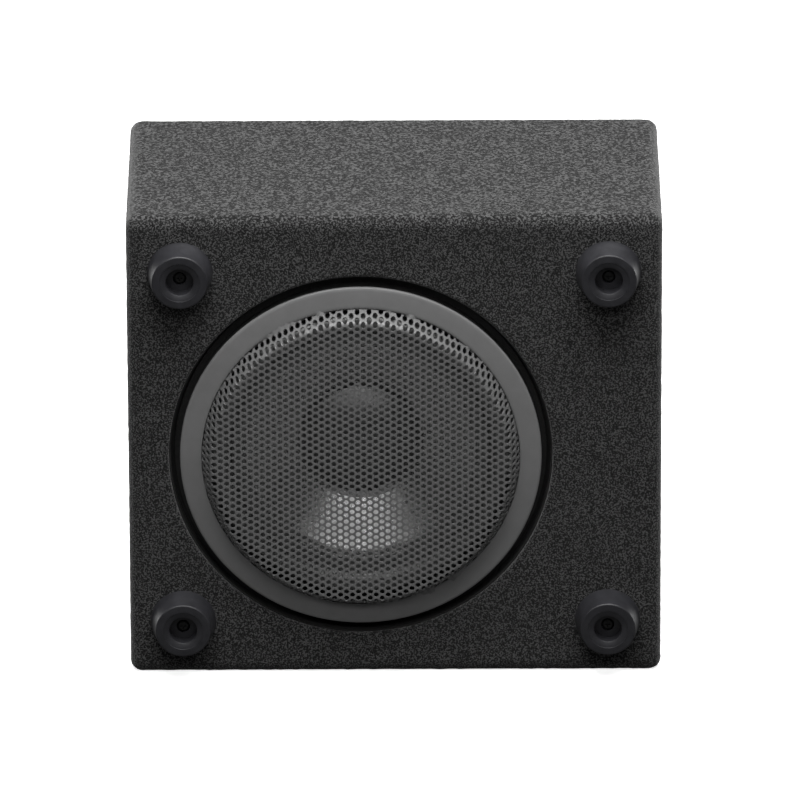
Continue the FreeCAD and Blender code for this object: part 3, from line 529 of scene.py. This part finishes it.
def end_surface(side):
    """Outer surface of the trimmed piece over one end, side -1 or +1."""
    path = rounded_rect_path(CARPET_GRID, 6)
    inner_x = HALF_X - EDGE_R
    stations = [(side * (inner_x + EDGE_R * math.sin(math.radians(a))), a)
                for a in edge_angles(SEAM_ANGLE, 90.0, 4)]
    rows = swept_rows(path, stations)
    verts = [v for row in rows for v in row]
    faces = quads_between(rows, 0)
    ys = spread(FRONT_Y + EDGE_R, BACK_Y - EDGE_R)
    zs = spread(EDGE_R, TOP_Z - EDGE_R)
    first = len(verts)
    verts += [(side * HALF_X, y, z) for y in ys for z in zs]
    for i in range(len(ys) - 1):
        for j in range(len(zs) - 1):
            a = first + i * len(zs) + j
            faces.append((a, a + 1, a + len(zs) + 1, a + len(zs)))
    bm = bmesh.new()
    bm.from_mesh(mesh_from("end", verts, faces))
    bmesh.ops.remove_doubles(bm, verts=bm.verts, dist=0.01 * MM)
    bmesh.ops.dissolve_degenerate(bm, edges=bm.edges, dist=0.001 * MM)
    bmesh.ops.recalc_face_normals(bm, faces=bm.faces)
    return bm


def spread(low, high):
    count = round((high - low) / CARPET_GRID)
    return [low + (high - low) * i / count for i in range(count + 1)]


def box_normal(point):
    """Outward direction of the rounded box at a point near its surface."""
    core = Vector((min(max(point.x, EDGE_R - HALF_X), HALF_X - EDGE_R),
                   min(max(point.y, FRONT_Y + EDGE_R), BACK_Y - EDGE_R),
                   min(max(point.z, EDGE_R), TOP_Z - EDGE_R)))
    return (point - core).normalized()


def back_of_felt(point, normal):
    """Where the felt meets the board behind a point. In the hole's rolled edge that is straight back."""
    if normal.y < -0.999:
        return Vector((point.x, FRONT_Y + CARPET_T, point.z))
    return point - normal * CARPET_T


def felt_mesh(name, bm, rng):
    """Gives an outer surface its thickness and the uneven pile of needled felt."""
    bm.verts.ensure_lookup_table()
    bm.verts.index_update()
    outer = []
    inner = []
    for vert in bm.verts:
        normal = box_normal(vert.co)
        pile = CARPET_PILE + max(-0.2 * MM, min(0.2 * MM, rng.normal(0.0, 0.09 * MM)))
        raised = vert.co + normal * pile
        outer.append((raised.x, raised.y, max(raised.z, 0.0)))
        inner.append(tuple(back_of_felt(vert.co, normal)))
    count = len(outer)
    faces = [[v.index for v in f.verts] for f in bm.faces]
    backs = [[i + count for i in reversed(f)] for f in faces]
    rims = []
    for edge in bm.edges:
        if edge.is_boundary:
            a, b = (v.index for v in edge.verts)
            rims.append([b, a, a + count, b + count])
    bm.free()
    return mesh_from(name, outer + inner, faces + backs + rims)


def build_carpet():
    rng = np.random.default_rng(11)
    wrap = new_object("carpet_wrap_felt", felt_mesh("carpet_wrap_felt", wrap_surface(), rng))
    smooth_by_angle(wrap.data, 50.0)
    finish_piece(wrap, "carpet", ["carpet_wrap"])

    amp_area = (tray_high.y - tray_low.y) * (tray_high.z - tray_low.z)
    for name, panel, side, opening in (("carpet_end_plain", "left_panel", -1, 0.0),
                                       ("carpet_end_amplifier", "right_panel", 1, amp_area)):
        end = new_object(name, felt_mesh(name, end_surface(side), rng))
        if opening:
            cut_with(end, amp_cutter())
        smooth_by_angle(end.data, 50.0)
        finish_piece(end, "carpet", ["carpet_ends"])


def cut_with(obj, mesh):
    cutter = new_object("cutter", mesh)
    boolean = obj.modifiers.new("cut", "BOOLEAN")
    boolean.operation = "DIFFERENCE"
    boolean.solver = "EXACT"
    boolean.object = cutter
    depsgraph = bpy.context.evaluated_depsgraph_get()
    cut = bpy.data.meshes.new_from_object(obj.evaluated_get(depsgraph))
    obj.modifiers.clear()
    obj.data = cut
    bpy.data.objects.remove(cutter)


def amp_cutter():
    """Rounded block that clears the amplifier's flange out of the end carpet."""
    gap = 0.3 * MM
    radius = 10.3 * MM
    low_y, high_y = tray_low.y - gap, tray_high.y + gap
    low_z, high_z = tray_low.z - gap, tray_high.z + gap
    corners = [(high_y - radius, high_z - radius, 0), (low_y + radius, high_z - radius, 90),
               (low_y + radius, low_z + radius, 180), (high_y - radius, low_z + radius, 270)]
    outline = []
    for y, z, start in corners:
        outline += arc((y, z), radius, start, start + 90, 10)
    xs = (HALF_X - 10 * MM, HALF_X + 10 * MM)
    verts = [(x, y, z) for x in xs for y, z in outline]
    count = len(outline)
    faces = [tuple(range(count)), tuple(range(count, 2 * count))]
    for i in range(count):
        j = (i + 1) % count
        faces.append((i, j, count + j, count + i))
    return mesh_from("cutter", verts, faces)


# ---------------------------------------------------------------- feet
def build_feet():
    end = -FOOT_H
    floor = end + FOOT_RECESS_DEPTH
    fillet = 1.0 * MM
    wall = [(FOOT_BORE_R, 0.0), (FOOT_R - 0.3 * MM, 0.0), (FOOT_R, -0.3 * MM)]
    corner = arc((FOOT_END_R - fillet, end + fillet), fillet, 0, -90, 6)
    step_r = FOOT_RECESS_R + 3.7 * MM
    face = [(step_r, end), (step_r - 0.15 * MM, end + 0.35 * MM),
            (FOOT_RECESS_R + 0.5 * MM, end + 0.9 * MM), (FOOT_RECESS_R + 0.1 * MM, end + 1.2 * MM),
            (FOOT_RECESS_R, end + 1.8 * MM), (FOOT_RECESS_R, floor),
            (FOOT_POCKET_R, floor), (FOOT_POCKET_R, floor + FOOT_POCKET_DEPTH),
            (FOOT_BORE_R, floor + FOOT_POCKET_DEPTH)]
    meshes = [lathe_mesh("foot", wall + corner + face, place, 96) for place in FOOT_PLACES]
    feet = new_object("rubber_feet_moulded", join_meshes("rubber_feet_moulded", meshes))
    finish_piece(feet, "foot_rubber", ["rubber_feet"])


# ---------------------------------------------------------------- trim ring
def build_ring():
    lip = 0.4 * MM
    bevel = 0.7 * MM
    face = -RING_PROUD
    inner_r = RING_BORE_R + lip
    outer_r = RING_R - bevel
    crown = []
    for index in range(9):
        share = index / 8
        fall = RING_FALL * (0.64 * share + 0.36 * share * share)
        crown.append((inner_r + (outer_r - inner_r) * share, face + fall))
    outer_face = crown[-1][1]
    edge = [(RING_R - 0.2 * MM, outer_face + 0.35 * MM), (RING_R, outer_face + bevel), (RING_R, RING_UNDER)]
    inner = [(RING_BORE_R, RING_UNDER), (RING_BORE_R, face + lip),
             (RING_BORE_R + 0.12 * MM, face + 0.12 * MM)]
    ring = new_object("trim_ring_moulded", lathe_mesh("trim_ring_moulded", crown + edge + inner, steps=256))
    finish_piece(ring, "ring_plastic", ["trim_ring"])


# ---------------------------------------------------------------- grille
def dish_profile():
    """Middle line of the pressed sheet as (radius, depth) points, from the centre outwards."""
    face = -GRILLE_PROUD + GRILLE_T / 2
    steep = 65.0
    bend_r = 1.5 * MM
    line = [(0.0, face), (GRILLE_FLAT_R, face)]
    line += arc((GRILLE_FLAT_R, face + bend_r), bend_r, -90, -90 + steep, 6)[1:]
    wall_r = RING_BORE_R - 0.2 * MM - GRILLE_T / 2
    top = line[-1][1] + (wall_r - line[-1][0]) * math.tan(math.radians(steep))
    seat = RING_UNDER + GRILLE_T / 2
    line += [(wall_r, top), (wall_r, seat - 0.4 * MM), (wall_r + 0.4 * MM, seat), (GRILLE_EDGE_R, seat)]
    return line


def along_line(line, distances):
    """Points and unit normals at distances along a line of 2-D points."""
    points = np.array(line)
    steps = np.hypot(*np.diff(points, axis=0).T)
    reach = np.concatenate([[0.0], np.cumsum(steps)])
    place = np.column_stack([np.interp(distances, reach, points[:, k]) for k in (0, 1)])
    probe = 0.3 * MM
    ahead = np.column_stack([np.interp(distances + probe, reach, points[:, k]) for k in (0, 1)])
    behind = np.column_stack([np.interp(distances - probe, reach, points[:, k]) for k in (0, 1)])
    tangent = ahead - behind
    tangent /= np.hypot(*tangent.T)[:, None]
    return place, np.column_stack([tangent[:, 1], -tangent[:, 0]]), reach[-1]


def sheet_to_line(radii):
    """Distance along the pressed sheet for a radius on the flat blank: the drawn wall is stretched."""
    return np.where(radii < GRILLE_FLAT_R, radii, GRILLE_FLAT_R + (radii - GRILLE_FLAT_R) * WALL_STRETCH)


def hole_lattice(limit):
    """Centres of the staggered holes inside a radius, in columns that run up and down."""
    column = HOLE_PITCH * math.sqrt(3) / 2
    reach = int(limit / column) + 2
    centres = []
    for i in range(-reach, reach + 1):
        shift = HOLE_PITCH / 2 if i % 2 else 0.0
        for j in range(-reach - 2, reach + 3):
            centre = (i * column + LATTICE_SHIFT[0], j * HOLE_PITCH + shift + LATTICE_SHIFT[1])
            if math.hypot(*centre) < limit:
                centres.append(centre)
    return centres


def grille_mesh():
    """The perforated blank, triangulated flat, then pressed to the dish and given its thickness."""
    line = dish_profile()
    total = along_line(line, np.array([0.0]))[2]
    blank_r = GRILLE_FLAT_R + (total - GRILLE_FLAT_R) / WALL_STRETCH
    flange = (GRILLE_EDGE_R - RING_BORE_R) / WALL_STRETCH
    centres = hole_lattice(blank_r - flange - HOLE_R)
    sides = 14
    rim_steps = 200
    turns = [2 * math.pi * i / rim_steps for i in range(rim_steps)]
    points = [(blank_r * math.cos(a), blank_r * math.sin(a)) for a in turns]
    edges = [(i, (i + 1) % rim_steps) for i in range(rim_steps)]
    for x, z in centres:
        first = len(points)
        for k in range(sides):
            angle = 2 * math.pi * k / sides
            points.append((x + HOLE_R * math.cos(angle), z + HOLE_R * math.sin(angle)))
            edges.append((first + k, first + (k + 1) % sides))
    third = HOLE_PITCH / math.sqrt(3)
    for x, z in centres:
        points.append((x + third, z))
        points.append((x - third, z))
    flat, _, triangles, _, _, _ = geometry.delaunay_2d_cdt([Vector(p) for p in points], edges, [], 1, 1e-7)
    flat = np.array([tuple(p) for p in flat])
    triangles = np.array(triangles)
    middle = flat[triangles].mean(axis=1)
    holes = np.array(centres)
    keep = np.ones(len(triangles), bool)
    for start in range(0, len(triangles), 4000):
        part = middle[start:start + 4000]
        gap = np.hypot(part[:, None, 0] - holes[None, :, 0], part[:, None, 1] - holes[None, :, 1]).min(axis=1)
        keep[start:start + 4000] = gap > HOLE_R * 0.98
    triangles = triangles[keep]
    return press(flat, triangles, line)


def press(flat, triangles, line):
    radii = np.hypot(*flat.T)
    directions = flat / np.maximum(radii, 1e-9)[:, None]
    place, normal, _ = along_line(line, sheet_to_line(radii))
    verts = []
    for side in (0.5, -0.5):
        radius = place[:, 0] + normal[:, 0] * GRILLE_T * side
        depth = place[:, 1] + normal[:, 1] * GRILLE_T * side
        verts.append(np.column_stack([AXIS_X + directions[:, 0] * radius, FRONT_Y + depth,
                                      AXIS_Z + directions[:, 1] * radius]))
    count = len(flat)
    used = {}
    for a, b, c in triangles:
        for edge in ((a, b), (b, c), (c, a)):
            used[edge] = used.get(edge, 0) + 1
    rims = [(a, b) for a, b in used if (b, a) not in used]
    faces = [tuple(t) for t in triangles]
    faces += [(c + count, b + count, a + count) for a, b, c in triangles]
    faces += [(b, a, a + count, b + count) for a, b in rims]
    mesh = bpy.data.meshes.new("grille_perforated")
    mesh.from_pydata(np.vstack(verts).tolist(), [], [[int(i) for i in f] for f in faces])
    bm = bmesh.new()
    bm.from_mesh(mesh)
    loose = [v for v in bm.verts if not v.link_faces]
    bmesh.ops.delete(bm, geom=loose, context="VERTS")
    bmesh.ops.recalc_face_normals(bm, faces=bm.faces)
    bm.to_mesh(mesh)
    bm.free()
    smooth_by_angle(mesh, 40.0)
    return mesh


def build_grille():
    grille = new_object("grille_perforated", grille_mesh())
    finish_piece(grille, "grille_paint", ["grille"])


# ---------------------------------------------------------------- driver's moving and soft parts
def cone_depth(radius):
    slope = (NECK_DEPTH - CONE_EDGE_DEPTH) / (CONE_EDGE_R - NECK_R)
    return CONE_EDGE_DEPTH + (CONE_EDGE_R - radius) * slope


def build_cone():
    rim_r = 72.0 * MM
    slope = (NECK_DEPTH - CONE_EDGE_DEPTH) / (CONE_EDGE_R - NECK_R)
    thick = PAPER_T * math.sqrt(1 + slope * slope)
    bend = CONE_EDGE_R - (thick - PAPER_T) / slope
    front = []
    for index in range(13):
        radius = NECK_R + (CONE_EDGE_R - NECK_R) * index / 12
        front.append((radius, cone_depth(radius)))
    profile = front + [(rim_r, CONE_EDGE_DEPTH), (rim_r, CONE_EDGE_DEPTH + PAPER_T),
                       (bend, CONE_EDGE_DEPTH + PAPER_T), (NECK_R, NECK_DEPTH + thick)]
    cone = new_object("cone_pressed", lathe_mesh("cone_pressed", profile))
    finish_piece(cone, "cone_paper", ["cone"], CONE_BODY)


def build_dust_cap():
    ball_r = (DUST_CAP_R ** 2 + DUST_CAP_RISE ** 2) / (2 * DUST_CAP_RISE)
    apex = cone_depth(DUST_CAP_R) - DUST_CAP_T - DUST_CAP_RISE
    collar_r = DUST_CAP_R + 3 * MM
    foot_r = DUST_CAP_R - 1 * MM

    def dome(radius, shift):
        return (radius, apex + shift + ball_r - math.sqrt(ball_r ** 2 - radius ** 2))

    outside = [dome(DUST_CAP_R * i / 16, 0.0) for i in range(17)]
    collar = [(collar_r, cone_depth(collar_r) - DUST_CAP_T), (collar_r, cone_depth(collar_r)),
              (foot_r, cone_depth(foot_r))]
    inside = [dome((DUST_CAP_R - 1.5 * MM) * i / 8, DUST_CAP_T) for i in range(8, -1, -1)]
    cap = new_object("dust_cap_pressed", lathe_mesh("dust_cap_pressed", outside + collar + inside, steps=128))
    finish_piece(cap, "cap_paper", ["dust_cap"], CONE_BODY)


def build_surround():
    """Half-roll that follows the cone at its inner lip and the basket at its outer lip."""
    middle = (ROLL_IN_R + ROLL_OUT_R) / 2
    half = (ROLL_OUT_R - ROLL_IN_R) / 2
    lip = CONE_EDGE_DEPTH
    outer = [(middle + (half + PAPER_T / 2) * math.cos(math.radians(a)),
              lip - PAPER_T - half * math.sin(math.radians(a))) for a in range(180, -1, -10)]
    inner = [(middle + (half - PAPER_T / 2) * math.cos(math.radians(a)),
              lip - (half - PAPER_T / 2) * math.sin(math.radians(a))) for a in range(0, 181, 10)]
    ridge = [(0.0, 0.9), (0.5, 1.35), (0.9, 1.5), (1.25, 1.4), (1.5, 0.8)]
    profile = [(CONE_EDGE_R + r * MM, lip - d * MM) for r, d in ridge] + outer
    profile += [(ROLL_OUT_R + PAPER_T / 2, FLANGE_DEPTH - PAPER_T), (LIP_R, FLANGE_DEPTH - PAPER_T),
                (LIP_R, FLANGE_DEPTH), (ROLL_OUT_R - PAPER_T / 2, FLANGE_DEPTH)]
    profile += inner + [(CONE_EDGE_R, lip)]
    surround = new_object("surround_roll", lathe_mesh("surround_roll", profile))
    finish_piece(surround, "surround_rubber", ["surround"], None)
    follow_radially(surround)


def follow_radially(obj):
    """Bakes the part's placement into its mesh."""
    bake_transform(obj)


def build_spider():
    """Corrugated cloth with rounded waves, from the coil former to the basket's ledge."""
    low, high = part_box("spider")
    ledge = high.y - FRONT_Y - SPIDER_T
    wave_start = NECK_R + 2.0 * MM
    wave_height = high.y - low.y - SPIDER_T
    outer_r = (high.x - low.x) / 2
    near = [(NECK_R, ledge)]
    for index in range(49):
        share = index / 48
        swing = 0.5 - 0.5 * math.cos(2 * math.pi * SPIDER_WAVES * share)
        near.append((wave_start + (SPIDER_LEDGE_R - wave_start) * share, ledge - wave_height * swing))
    near.append((outer_r, ledge))
    far = [(radius, depth + SPIDER_T) for radius, depth in reversed(near)]
    spider = new_object("spider_corrugated", lathe_mesh("spider_corrugated", near + far, steps=128))
    finish_piece(spider, "spider_cloth", ["spider"], None)
    follow_radially(spider)


def slack_curve(start, middle, end, steps):
    """Points on the parabola that leaves start, hangs through middle half way and reaches end."""
    points = []
    for index in range(steps + 1):
        t = index / steps
        weights = ((1 - t) * (1 - 2 * t), 4 * t * (1 - t), t * (2 * t - 1))
        points.append(tuple(sum(w * p[axis] for w, p in zip(weights, (start, middle, end)))
                            for axis in range(2)))
    return points


def braided_tube(points, z, sides=16):
    """A closed tube along points of a level plane, its surface raised by crossing strands."""
    steps = len(points) - 1
    verts = []
    faces = []
    for i, (x, y) in enumerate(points):
        ahead = points[min(i + 1, steps)]
        behind = points[max(i - 1, 0)]
        heading = math.atan2(ahead[1] - behind[1], ahead[0] - behind[0])
        for k in range(sides):
            angle = 2 * math.pi * k / sides
            strand = 0.04 * MM * (math.cos(4 * angle + 1.3 * i) + math.cos(4 * angle - 1.3 * i))
            radius = TINSEL_R - 0.08 * MM + strand
            across = radius * math.cos(angle)
            up = radius * math.sin(angle)
            verts.append((x - across * math.sin(heading), y + across * math.cos(heading), z + up))
    for i in range(steps):
        for k in range(sides):
            j = (k + 1) % sides
            faces.append((i * sides + k, i * sides + j, (i + 1) * sides + j, (i + 1) * sides + k))
    faces.append(tuple(range(sides)))
    faces.append(tuple(steps * sides + k for k in reversed(range(sides))))
    mesh = mesh_from("lead", verts, faces)
    smooth_by_angle(mesh, 60.0)
    return mesh


def build_tinsel_leads():
    """Two slack braided leads from the terminal strip to the back of the cone."""
    low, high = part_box("tinsel_leads")
    start = (AXIS_X + LEAD_START_R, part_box("terminal_strip")[0].y - 0.1 * MM)
    middle = (AXIS_X + LEAD_SLACK_R, FRONT_Y + LEAD_SLACK_DEPTH)
    end = (AXIS_X + LEAD_END_R, FRONT_Y + cone_depth(LEAD_END_R) + LEAD_END_GAP)
    points = slack_curve(start, middle, end, 96)
    rows = (low.z + TINSEL_R, high.z - TINSEL_R)
    tubes = [braided_tube(points, z) for z in rows]
    leads = new_object("tinsel_leads_braided", join_meshes("tinsel_leads_braided", tubes))
    finish_piece(leads, "tinsel", ["tinsel_leads"], None)
    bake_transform(leads)


# ---------------------------------------------------------------- stage, lights and camera
CAMERA_ELEVATION = 21.85
CAMERA_ROLL = 0.22
CAMERA_DISTANCE = 7.103
CAMERA_LENS = 558.7
CAMERA_TARGET = Vector((0.0002, FRONT_Y, 0.1746))


def seen_share(tree, as_light, in_gloss, direct):
    """One value where it lights matt surfaces, one in reflections and one seen directly."""
    path = tree.nodes.new("ShaderNodeLightPath")
    gloss = map_range(tree, path.outputs["Is Glossy Ray"], 0.0, 1.0, as_light, in_gloss)
    share = node_of(tree, "ShaderNodeMix", data_type="FLOAT")
    share.inputs[3].default_value = direct
    tree.links.new(path.outputs["Is Camera Ray"], share.inputs[0])
    tree.links.new(gloss, share.inputs[2])
    return share.outputs[0]


def build_stage():
    size = 3.0
    corners = [(-size, -size, 0.0), (size, -size, 0.0), (size, size, 0.0), (-size, size, 0.0)]
    floor = new_object("floor", mesh_from("floor", corners, [(0, 1, 2, 3)]))
    material = bpy.data.materials.new("pale_floor")
    material.use_nodes = True
    tree = material.node_tree
    shader = tree.nodes["Principled BSDF"]
    shader.inputs["Roughness"].default_value = 0.9
    shader.inputs["Specular IOR Level"].default_value = 0.1
    colour = seen_share(tree, as_light=0.07, in_gloss=0.09, direct=1.0)
    tree.links.new(colour, shader.inputs["Base Color"])
    shader.inputs["Emission Color"].default_value = (1.0, 1.0, 1.0, 1.0)
    glow = seen_share(tree, as_light=0.0, in_gloss=0.0, direct=0.75)
    tree.links.new(glow, shader.inputs["Emission Strength"])
    floor.data.materials.append(material)


def build_world():
    """Pale all round to the eye, dim as a light."""
    world = bpy.data.worlds.new("studio")
    bpy.context.scene.world = world
    world.use_nodes = True
    tree = world.node_tree
    background = tree.nodes["Background"]
    strength = seen_share(tree, as_light=0.05, in_gloss=0.03, direct=1.0)
    background.inputs["Color"].default_value = (1.0, 1.0, 1.0, 1.0)
    tree.links.new(strength, background.inputs["Strength"])


def area_light(name, place, target, size, power):
    data = bpy.data.lights.new(name, "AREA")
    data.shape = "RECTANGLE"
    data.size, data.size_y = size
    data.energy = power
    light = bpy.data.objects.new(name, data)
    bpy.context.scene.collection.objects.link(light)
    light.location = place
    light.visible_camera = False
    light.rotation_euler = (Vector(target) - Vector(place)).to_track_quat("-Z", "Y").to_euler()


def build_lights():
    area_light("overhead", place=(0.1, -0.35, 1.7), target=(0.0, 0.0, 0.15), size=(1.5, 1.3), power=52.0)
    area_light("front_fill", place=(-0.25, -2.3, 2.0), target=(0.0, 0.0, 0.14), size=(4.2, 0.5), power=26.5)
    for name, x in (("rear_left", -2.1), ("rear_right", 2.1)):
        area_light(name, place=(x, 1.6, 0.13), target=(0.0, 0.0, 0.13), size=(1.6, 0.2), power=24.0)


def build_camera():
    data = bpy.data.cameras.new("camera")
    data.lens = CAMERA_LENS
    data.sensor_width = 36.0
    data.clip_end = 50.0
    camera = bpy.data.objects.new("camera", data)
    bpy.context.scene.collection.objects.link(camera)
    lift = math.radians(CAMERA_ELEVATION)
    back = Vector((0.0, -math.cos(lift), math.sin(lift)))
    camera.location = CAMERA_TARGET + back * CAMERA_DISTANCE
    look = (-back).to_track_quat("-Z", "Y").to_matrix().to_4x4()
    roll = Matrix.Rotation(math.radians(-CAMERA_ROLL), 4, "Z")
    camera.matrix_world = Matrix.Translation(camera.location) @ look @ roll
    bpy.context.scene.camera = camera
    bpy.context.scene.view_settings.view_transform = "Standard"


build_camera()
dress_cad_nodes()
build_carpet()
build_feet()
build_ring()
build_grille()
build_cone()
build_dust_cap()
build_surround()
build_spider()
build_tinsel_leads()
build_stage()
build_world()
build_lights()
